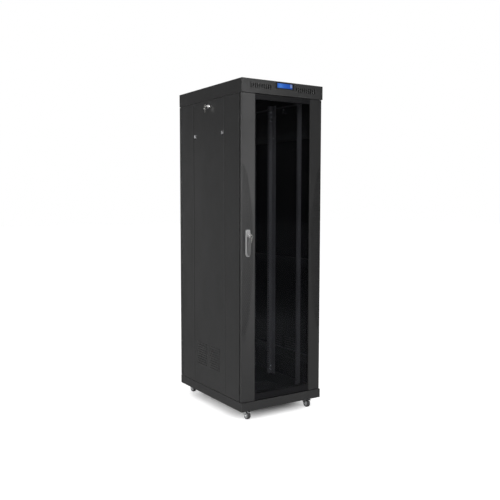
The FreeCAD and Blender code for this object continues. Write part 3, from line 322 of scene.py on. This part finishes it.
FAN = moulded("fan_plastic", base=(0.016, 0.016, 0.017), rough=0.46)
TREAD = moulded("wheel_tread", base=(0.035, 0.035, 0.037), rough=0.55, grain=500.0, depth=0.0001)
HUB = moulded("wheel_hub", base=(0.30, 0.305, 0.31), rough=0.42)
RUBBER = moulded(
    "seal_rubber", base=(0.012, 0.012, 0.012), rough=0.62, grain=700.0, depth=0.0001, spec=0.35)
FOAM = moulded(
    "filter_foam", base=(0.014, 0.014, 0.015), rough=0.85, grain=420.0, depth=0.0009, spec=0.2)

# Material and the CAD names that take it; the first match counts
CAD_FINISHES = (
    (GLASS, ("front_door_glass",)),
    (BEZEL, ("display_bezel",)),
    (PANEL, ("display_panel",)),
    (ZINC, ("frame_bolts", "caster_plates", "fan_guards", "*hinge_pins*",
            "caster_fork*", "caster_brake*")),
    (DIECAST, ("handle_housing", "handle_spindle")),
    (LEVER, ("handle_lever",)),
    (CHROME, ("handle_lock_plug", "side_lock_left", "side_lock_right", "rear_door_lock",
              "side_latch*")),
    (NICKEL, ("*_keys",)),
    (FAN, ("fan_*",)),
    (TREAD, ("caster_wheel*",)),
    (RAIL, ("mounting_rail*",)),
    (COAT_INNER, ("depth_braces*", "corner_post*", "bottom_panel*")),
    (COAT_PERFORATED, ("front_door_stile*",)),
    (COAT_FRONT, ("front_door*", "crown*")),
    (COAT, ("*",)),
)


def cad_finish(name):
    for material, patterns in CAD_FINISHES:
        if any(fnmatchcase(name, pattern) for pattern in patterns):
            return material


for name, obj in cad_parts.items():
    obj.data.materials.clear()
    obj.data.materials.append(cad_finish(name))


# ---------------------------------------------------------------- mesh tools
class Shape:
    """Collects vertices, in millimetres, and faces."""

    def __init__(self):
        self.verts, self.faces = [], []

    def add(self, verts, faces):
        start = len(self.verts)
        self.verts += [Vector(point) for point in verts]
        self.faces += [tuple(i + start for i in face) for face in faces]

    def sweep(self, rings, caps=True):
        """Skins between closed rings of equal length."""
        count = len(rings[0])
        last = (len(rings) - 1) * count
        faces = []
        for k in range(0, last, count):
            for i in range(count):
                j = (i + 1) % count
                faces.append((k + i, k + j, k + count + j, k + count + i))
        if caps:
            faces.append(tuple(range(count - 1, -1, -1)))
            faces.append(tuple(last + i for i in range(count)))
        self.add([point for ring in rings for point in ring], faces)

    def lathe(self, profile, origin, axis, steps):
        """Turns a closed (radius, height) outline about an axis through origin."""
        axis = Vector(axis).normalized()
        side = axis.orthogonal().normalized()
        other = axis.cross(side)
        rings = []
        for radius, height in profile:
            centre = Vector(origin) + axis * height
            rings.append([centre + side * a + other * b for a, b in circle(radius, steps)])
        rings.append(rings[0])
        self.sweep(rings, caps=False)

    def prism(self, outline, lift):
        """A flat outline of 3-D points, thickened by a vector."""
        base = [Vector(point) for point in outline]
        self.sweep([base, [point + Vector(lift) for point in base]])

    def border(self, outer, inner, lift):
        """A flat frame between two outlines with the same number of points."""
        n = len(outer)
        verts = [Vector(point) for point in outer + inner]
        verts += [point + Vector(lift) for point in verts]
        faces = []
        for i in range(n):
            j = (i + 1) % n
            faces += [(i, j, n + j, n + i), (2 * n + j, 2 * n + i, 3 * n + i, 3 * n + j)]
            faces += [(j, i, 2 * n + i, 2 * n + j), (n + i, n + j, 3 * n + j, 3 * n + i)]
        self.add(verts, faces)


def make(name, shape, mat, body, smooth=False, bevel=0.0):
    """A mesh object from a shape, finished and set to ride on a body."""
    mesh = bpy.data.meshes.new(name)
    mesh.from_pydata([point * MM for point in shape.verts], [], shape.faces)
    bm = bmesh.new()
    bm.from_mesh(mesh)
    bmesh.ops.remove_doubles(bm, verts=bm.verts, dist=0.00001)
    bmesh.ops.recalc_face_normals(bm, faces=bm.faces)
    for face in bm.faces:
        face.smooth = smooth
    bm.to_mesh(mesh)
    bm.free()
    obj = bpy.data.objects.new(name, mesh)
    scene.collection.objects.link(obj)
    mesh.materials.append(mat)
    if bevel:
        mod = obj.modifiers.new("round", "BEVEL")
        mod.width = bevel * MM
        mod.segments = 2
        mod.limit_method = "ANGLE"
        mod.angle_limit = math.radians(35)
    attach(obj, body)


def circle(radius, steps, start=0.0):
    """Points round a circle in a plane, from a start angle in degrees."""
    angles = [math.radians(start + 360.0 * i / steps) for i in range(steps)]
    return [(radius * math.cos(angle), radius * math.sin(angle)) for angle in angles]


def rounded_rect(a0, a1, b0, b1, radius, steps):
    """Outline of a rounded rectangle in a plane, with steps per corner."""
    corners = (
        (a1 - radius, b1 - radius, 0), (a0 + radius, b1 - radius, 90),
        (a0 + radius, b0 + radius, 180), (a1 - radius, b0 + radius, 270),
    )
    points = []
    for a, b, start in corners:
        for k in range(steps + 1):
            angle = math.radians(start + 90.0 * k / steps)
            points.append((a + radius * math.cos(angle), b + radius * math.sin(angle)))
    return points


def at_y(points, y):
    return [(x, y, z) for x, z in points]


def at_z(points, z):
    return [(x, y, z) for x, y in points]


# ---------------------------------------------------------------- front door
def glass_border():
    """Enamel border just outside the pane's outer face."""
    edge_x, edge_z = PANE_HALF - 0.3, 2.4
    opening_x = PANE_HALF - 7.0
    outer = rounded_rect(-edge_x, edge_x, DOOR_LOW + edge_z, DOOR_HIGH - edge_z, 0.5, 6)
    inner = rounded_rect(-opening_x, opening_x, DOOR_LOW + 41.0, DOOR_HIGH - 31.0, 3.0, 6)
    shape = Shape()
    y = PANE_FACE_Y - 0.12
    shape.border(at_y(outer, y), at_y(inner, y), lift=(0, 0.115, 0))
    make("glass_border", shape, ENAMEL, "front_door")


# Section of a seal lip: inset from the pane's edge, height off its face
SEAL_SECTION = ((0.1, 0.15), (0.1, 3.0), (1.2, 3.3), (2.6, 1.6), (3.0, 0.15))


def glass_seal_lips():
    """Seal lips between the pane and the strips beside it."""
    shape = Shape()
    for sx, _ in SIDES:
        shape.sweep([
            [(sx * (PANE_HALF - inset), PANE_FACE_Y - height, z) for inset, height in SEAL_SECTION]
            for z in (DOOR_LOW + 3.0, 1046.0, DOOR_HIGH - 3.0)
        ])
    make("glass_seal_lips", shape, RUBBER, "front_door", bevel=0.3)


def front_door_foam():
    """Foam strips along the inside of the door's upright edges."""
    near_x, far_x, y, thickness = 283.0, 291.0, -375.0, 2.2
    low, high = DOOR_LOW + 30, DOOR_HIGH - 30
    section = ((near_x, low), (far_x, low), (far_x, high), (near_x, high))
    shape = Shape()
    for sx, _ in SIDES:
        shape.prism([(sx * x, y, z) for x, z in section], lift=(0, thickness, 0))
    make("front_door_foam", shape, RUBBER, "front_door", bevel=0.8)


# ---------------------------------------------------------------- louvres
LOUVRE_COLUMNS_Y = (-72.0, 92.0)
LOUVRE_ROWS, LOUVRE_LOW_Z, LOUVRE_PITCH = 10, 258.0, 15.5
LOUVRE_HALF, LOUVRE_RISE, LOUVRE_DEPTH = 63.5, 7.0, 2.4
LOUVRE_SHEET = 0.7
LOUVRE_STEPS = 22
# Section from the top down to the open lip: share of the depth, of the rise
LOUVRE_SECTION = ((0.0, 0.62), (0.34, 0.52), (0.74, 0.22), (0.97, -0.18), (1.0, -0.44))


def louvre(shape, sx, y, z):
    """A pressed hood: flush at the top, swelling out to an open lip below."""
    section = [(LOUVRE_DEPTH * out, LOUVRE_RISE * up) for out, up in LOUVRE_SECTION]
    rings = []
    for i in range(LOUVRE_STEPS + 1):
        along = -1.0 + 2.0 * i / LOUVRE_STEPS
        swell = (1.0 - abs(along) ** 7) ** 0.5
        ring = [
            (sx * (HALF_WIDTH + out * swell + SKIN_GAP), y + along * LOUVRE_HALF, z + up)
            for out, up in section
        ]
        for out, up in reversed(section):
            inside = max(0.0, out - LOUVRE_SHEET) * swell * 0.97
            ring.append((
                sx * (HALF_WIDTH + inside), y + along * LOUVRE_HALF * 0.985, z + up - 0.25,
            ))
        rings.append(ring)
    shape.sweep(rings)


def side_louvres(sx, side):
    shape = Shape()
    for y in LOUVRE_COLUMNS_Y:
        for row in range(LOUVRE_ROWS):
            louvre(shape, sx, y, LOUVRE_LOW_Z + LOUVRE_PITCH * row)
    make("side_louvres_" + side, shape, COAT, "side_" + side, smooth=True)


# ---------------------------------------------------------------- locks
SIDE_LOCK_Z = 1935
REAR_LOCK_X, REAR_LOCK_Z = -262, 1050


def lock_rim(name, centre, axis, inner, outer, body):
    """A turned rim round a lock's face."""
    profile = (
        (inner, 0.0), (outer, 0.0), (outer, 0.9),
        (outer - 0.9, 1.7), (inner + 0.5, 1.7), (inner, 1.2),
    )
    shape = Shape()
    shape.lathe(profile, centre, axis, steps=40)
    make(name, shape, CHROME, body, bevel=0.15)


def key_slot(name, centre, axis, body, length, width):
    """An upright dark slot, barely proud of a lock's face."""
    axis = Vector(axis)
    up = Vector((0, 0, 1))
    side = axis.cross(up).normalized()
    back = Vector(centre) - axis * 0.2
    outline = rounded_rect(-width / 2, width / 2, -length / 2, length / 2, width * 0.45, 4)
    shape = Shape()
    shape.prism([back + side * a + up * b for a, b in outline], lift=axis * 0.22)
    make(name, shape, RUBBER, body)


def locks():
    for sx, side in SIDES:
        centre = (sx * (HALF_WIDTH + SKIN_GAP), 0, SIDE_LOCK_Z)
        lock_rim("side_lock_rim_" + side, centre, (sx, 0, 0), 10.6, 14.0, "side_" + side)
    key_slot("side_lock_slot_right", (HALF_WIDTH + 4.0, 0, SIDE_LOCK_Z), (1, 0, 0),
             "side_right_lock", length=7.0, width=1.6)
    lock_rim("rear_lock_rim", (REAR_LOCK_X, HALF_DEPTH + SKIN_GAP, REAR_LOCK_Z), (0, 1, 0),
             13.1, 17.0, "rear_door")
    key_slot("rear_lock_slot", (REAR_LOCK_X, HALF_DEPTH + 6.0, REAR_LOCK_Z), (0, 1, 0),
             "rear_lock", length=9.0, width=2.0)


def latch_ridges(sx, side, sy, end):
    """Four thumb ridges on a side latch."""
    centre_y, half_length = sy * 175.0, 6.5
    base_x, crest_x, half_height = HALF_WIDTH + 3.5, HALF_WIDTH + 4.0, 1.1
    shape = Shape()
    for k in range(4):
        z = 1750.0 + 4.0 * k
        section = ((base_x, z - half_height), (crest_x, z), (base_x, z + half_height))
        shape.sweep([
            [(sx * x, y, height) for x, height in section]
            for y in (centre_y - half_length, centre_y, centre_y + half_length)
        ])
    tag = side + "_" + end
    make("latch_ridges_" + tag, shape, CHROME, "latch_" + tag)


# ---------------------------------------------------------------- casters
CASTER_X, CASTER_Y = 230.0, 330.0
WHEEL_TRAIL = 22.0  # wheel's offset from its swivel, away from the middle
AXLE_Z = 25.0
# Hub cap: radius from the axle, distance from the wheel's middle plane
HUB_PROFILE = (
    (5.0, 9.6), (13.6, 9.6), (17.6, 9.75), (17.8, 10.6),
    (13.8, 10.25), (10.4, 12.2), (5.0, 12.4),
)


def caster_details(sx, side, sy, end):
    tag = end + "_" + side
    x, y = sx * CASTER_X, sy * (CASTER_Y + WHEEL_TRAIL)
    hubs, nuts = Shape(), Shape()
    for face in (-1, 1):
        hubs.lathe(HUB_PROFILE, (x, y, AXLE_Z), (face, 0, 0), steps=40)
        hexagon = [(x + face * 15.6, y + a, AXLE_Z + b) for a, b in circle(6.2, 6, start=30)]
        nuts.prism(hexagon, lift=(face * 3.4, 0, 0))
    make("wheel_hub_" + tag, hubs, HUB, "wheel_" + tag)
    make("axle_nuts_" + tag, nuts, ZINC, "fork_" + tag, bevel=0.5)


# ---------------------------------------------------------------- floor panel
FLOOR_TOP = 121.5
ENTRY_HALF_WIDTH = 150
ENTRY_FRONT, ENTRY_REAR = 205, 295
ENTRY_MIDDLE = (ENTRY_FRONT + ENTRY_REAR) / 2
# Layers of bristles: first bristle's x, underside z
BRISTLE_LAYERS = ((-148.0, 117.6), (-147.3, 118.7))
BRISTLE_END_X, BRISTLE_PITCH, BRISTLE_HALF = 148.0, 1.35, 0.62
# Filter mat from the bottom up: inset of the outline, z
FILTER_STATIONS = ((3.0, 116.2), (0.8, 116.6), (0.0, 117.6), (0.0, 119.0), (0.6, 119.8))


def floor_entry_edging():
    """Rubber edging round the cable entry's cut-out."""
    def outline(grow, radius):
        half = ENTRY_HALF_WIDTH + grow
        points = rounded_rect(-half, half, ENTRY_FRONT - grow, ENTRY_REAR + grow, radius, 4)
        return at_z(points, FLOOR_TOP + 0.1)

    shape = Shape()
    shape.border(outline(4, 3), outline(-1.6, 2), lift=(0, 0, 1.4))
    make("floor_entry_edging", shape, RUBBER, "cabinet", bevel=0.4)


def floor_entry_brush(chance):
    """Two rows of bristles that meet in the middle of the entry."""
    def ring(x, y, z, half, height):
        return [
            (x - half, y, z), (x + half, y, z), (x + half, y, z + height), (x - half, y, z + height),
        ]

    shape = Shape()
    for start_x, z in BRISTLE_LAYERS:
        for side in (-1, 1):
            root = ENTRY_MIDDLE + side * 44.0
            x = start_x
            while x < BRISTLE_END_X:
                tip = ENTRY_MIDDLE - side * (0.5 + chance.random() * 2.0)
                lean = (chance.random() - 0.5) * 1.2
                droop = (chance.random() - 0.5) * 0.5
                shape.sweep([
                    ring(x, root, z, BRISTLE_HALF, 0.9),
                    ring(x + lean, tip, z + droop, BRISTLE_HALF * 0.8, 0.8),
                ])
                x += BRISTLE_PITCH
    make("floor_entry_brush", shape, RUBBER, "cabinet")


def floor_filter_mat(chance):
    """Foam filter under the floor panel's slots, with a ragged edge."""
    def ragged(value):
        return value + (chance.random() - 0.5) * 0.6

    half_width, front, rear = 127.0, -211.0, -53.0
    rings = []
    for inset, z in FILTER_STATIONS:
        half = half_width - inset
        outline = rounded_rect(-half, half, front + inset, rear - inset, 6.0, 8)
        rings.append([(ragged(x), ragged(y), z) for x, y in outline])
    shape = Shape()
    shape.sweep(rings)
    make("floor_filter_mat", shape, FOAM, "cabinet")


# ---------------------------------------------------------------- rail bolts
RAIL_BOLT_X, RAIL_BOLT_Y = 253.5, 98.4
RAIL_BOLTS_Z = (1888.0, 1916.0, 1944.0, 146.0, 174.0)
WASHER = 1.3  # thickness


def rail_bolts(sx, side):
    """Hexagon heads on washers, facing the front."""
    x, y = sx * RAIL_BOLT_X, RAIL_BOLT_Y
    profile = ((0.5, 0.0), (8.0, 0.0), (8.0, WASHER), (0.5, WASHER))
    shape = Shape()
    for z in RAIL_BOLTS_Z:
        shape.lathe(profile, (x, y, z), (0, -1, 0), steps=32)
        head = [(x + a, y - WASHER, z + b) for a, b in circle(5.4, 6)]
        shape.prism(head, lift=(0, -4.2, 0))
    make("rail_bolts_rear_" + side, shape, ZINC, "cabinet", bevel=0.5)


glass_border()
glass_seal_lips()
front_door_foam()
for sx, side in SIDES:
    side_louvres(sx, side)
locks()
for sx, side in SIDES:
    for sy, end in ENDS:
        latch_ridges(sx, side, sy, end)
for sy, end in ENDS:
    for sx, side in SIDES:
        caster_details(sx, side, sy, end)
floor_entry_edging()
bristle_chance = random.Random(11)
floor_entry_brush(bristle_chance)
floor_filter_mat(bristle_chance)
for sx, side in SIDES:
    rail_bolts(sx, side)


# ---------------------------------------------------------------- stage, in metres
def floor_material():
    """Pale floor, lifted to white for the camera away from the cabinet; the lift fades out round the
    cabinet, painting a soft shadow about its footprint.
    """
    unlit_x, unlit_y = 0.12, 0.21  # half sizes of the area left unlifted
    shadow_spread, lift = 0.26, 0.80
    mat = Material("floor_pale")
    axes = mat.place_axes()

    def square_beyond(value, half):
        beyond = mat.calc("SUBTRACT", mat.calc("ABSOLUTE", value), half)
        beyond = mat.calc("MAXIMUM", beyond, 0.0)
        return mat.calc("MULTIPLY", beyond, beyond)

    away = mat.calc("ADD", square_beyond(axes["X"], unlit_x), square_beyond(axes["Y"], unlit_y))
    # The lift's fade towards the cabinet is a painted soft contact shadow
    painted_shadow = mat.span(mat.calc("SQRT", away), source=(0.0, shadow_spread), to=(0.0, 1.0),
                    interpolation_type="SMOOTHSTEP")
    seen = mat.add("ShaderNodeLightPath").outputs["Is Camera Ray"]
    return mat.principled({
        "Base Color": rgb(0.80),
        "Roughness": mat.span(mat.noise(scale=3.0, detail=3.0), to=(0.6, 0.75)),
        "Specular IOR Level": 0.15,
        "Emission Color": rgb(1.0),
        "Emission Strength": mat.calc("MULTIPLY", mat.calc("MULTIPLY", seen, painted_shadow), lift),
    })


def backdrop():
    bm = bmesh.new()
    bmesh.ops.create_grid(bm, x_segments=8, y_segments=8, size=30.0)
    mesh = bpy.data.meshes.new("floor")
    bm.to_mesh(mesh)
    bm.free()
    obj = bpy.data.objects.new("floor", mesh)
    scene.collection.objects.link(obj)
    mesh.materials.append(floor_material())


# Surroundings from -X to +X: place along the ramp, grey level
WORLD_STOPS = (
    (0.0, 0.12), (0.20, 0.06), (0.27, 0.14), (0.40, 0.50), (0.62, 0.70),
    (0.70, 0.45), (0.74, 0.12), (0.86, 0.05), (1.0, 0.08),
)


def studio_world():
    """Surroundings brightest about the middle of X; white to the camera."""
    world = bpy.data.worlds.new("studio")
    scene.world = world
    world.use_nodes = True
    graph = Graph(world.node_tree)
    direction = graph.add("ShaderNodeTexCoord").outputs["Generated"]
    axes = graph.add("ShaderNodeSeparateXYZ", {0: direction}).outputs
    across = graph.span(axes["X"], source=(-1.0, 1.0), to=(0.0, 1.0))
    ramp_node = graph.add("ShaderNodeValToRGB", {"Fac": across})
    elements = ramp_node.color_ramp.elements
    while len(elements) < len(WORLD_STOPS):
        elements.new(0.5)
    for element, (position, grey) in zip(elements, WORLD_STOPS):
        element.position = position
        element.color = rgb(grey)

    def background(colour):
        return graph.add("ShaderNodeBackground", {"Color": colour, "Strength": 1.0}).outputs[0]

    seen = graph.add("ShaderNodeLightPath").outputs["Is Camera Ray"]
    lit = background(ramp_node.outputs["Color"])
    surface = graph.mix_shader(seen, lit, background(rgb(1.0)))
    graph.add("ShaderNodeOutputWorld", {"Surface": surface})


def area(name, at, aim, width, height, power):
    """A rectangular light at a place, aimed at a point."""
    data = bpy.data.lights.new(name, "AREA")
    data.energy = power
    data.shape = "RECTANGLE"
    data.size = width
    data.size_y = height
    obj = bpy.data.objects.new(name, data)
    scene.collection.objects.link(obj)
    obj.location = at
    obj.rotation_mode = "QUATERNION"
    obj.rotation_quaternion = (Vector(aim) - Vector(at)).to_track_quat("-Z", "Y")


def camera():
    """Looks from the front left, slightly down."""
    location = (-2.37416, -3.71040, 1.34286)
    yaw = math.radians(32.786)  # from +Y towards +X
    pitch, roll = math.radians(-4.305), math.radians(0.074)
    data = bpy.data.cameras.new("camera")
    obj = bpy.data.objects.new("camera", data)
    scene.collection.objects.link(obj)
    data.sensor_width = 36.0
    data.lens = 47.67768
    data.clip_end = 60.0
    level = math.cos(pitch)
    forward = Vector((math.sin(yaw) * level, math.cos(yaw) * level, math.sin(pitch)))
    right = Vector((math.cos(yaw), -math.sin(yaw), 0.0))
    turn = Matrix((right, right.cross(forward), -forward)).transposed().to_4x4()
    obj.matrix_world = Matrix.Translation(location) @ turn @ Matrix.Rotation(roll, 4, "Z")
    scene.camera = obj


backdrop()
studio_world()
area("front_softbox", at=(1.25, -4.10, 1.6), aim=(0.0, -0.4, 1.0),
     width=0.85, height=2.9, power=52.0)
area("left_softbox", at=(-1.7, -3.4, 2.3), aim=(-0.1, -0.3, 1.0),
     width=0.5, height=2.2, power=36.0)
area("edge_strip", at=(-4.2, -1.4, 1.4), aim=(-0.3, -0.4, 1.4),
     width=0.22, height=2.6, power=130.0)
area("side_softbox", at=(-1.95, 4.0, 1.1), aim=(-0.3, 0.0, 0.8),
     width=0.7, height=2.2, power=3.0)
area("overhead", at=(0.2, -0.6, 4.2), aim=(0.0, 0.0, 0.0),
     width=2.6, height=2.6, power=7.0)
camera()
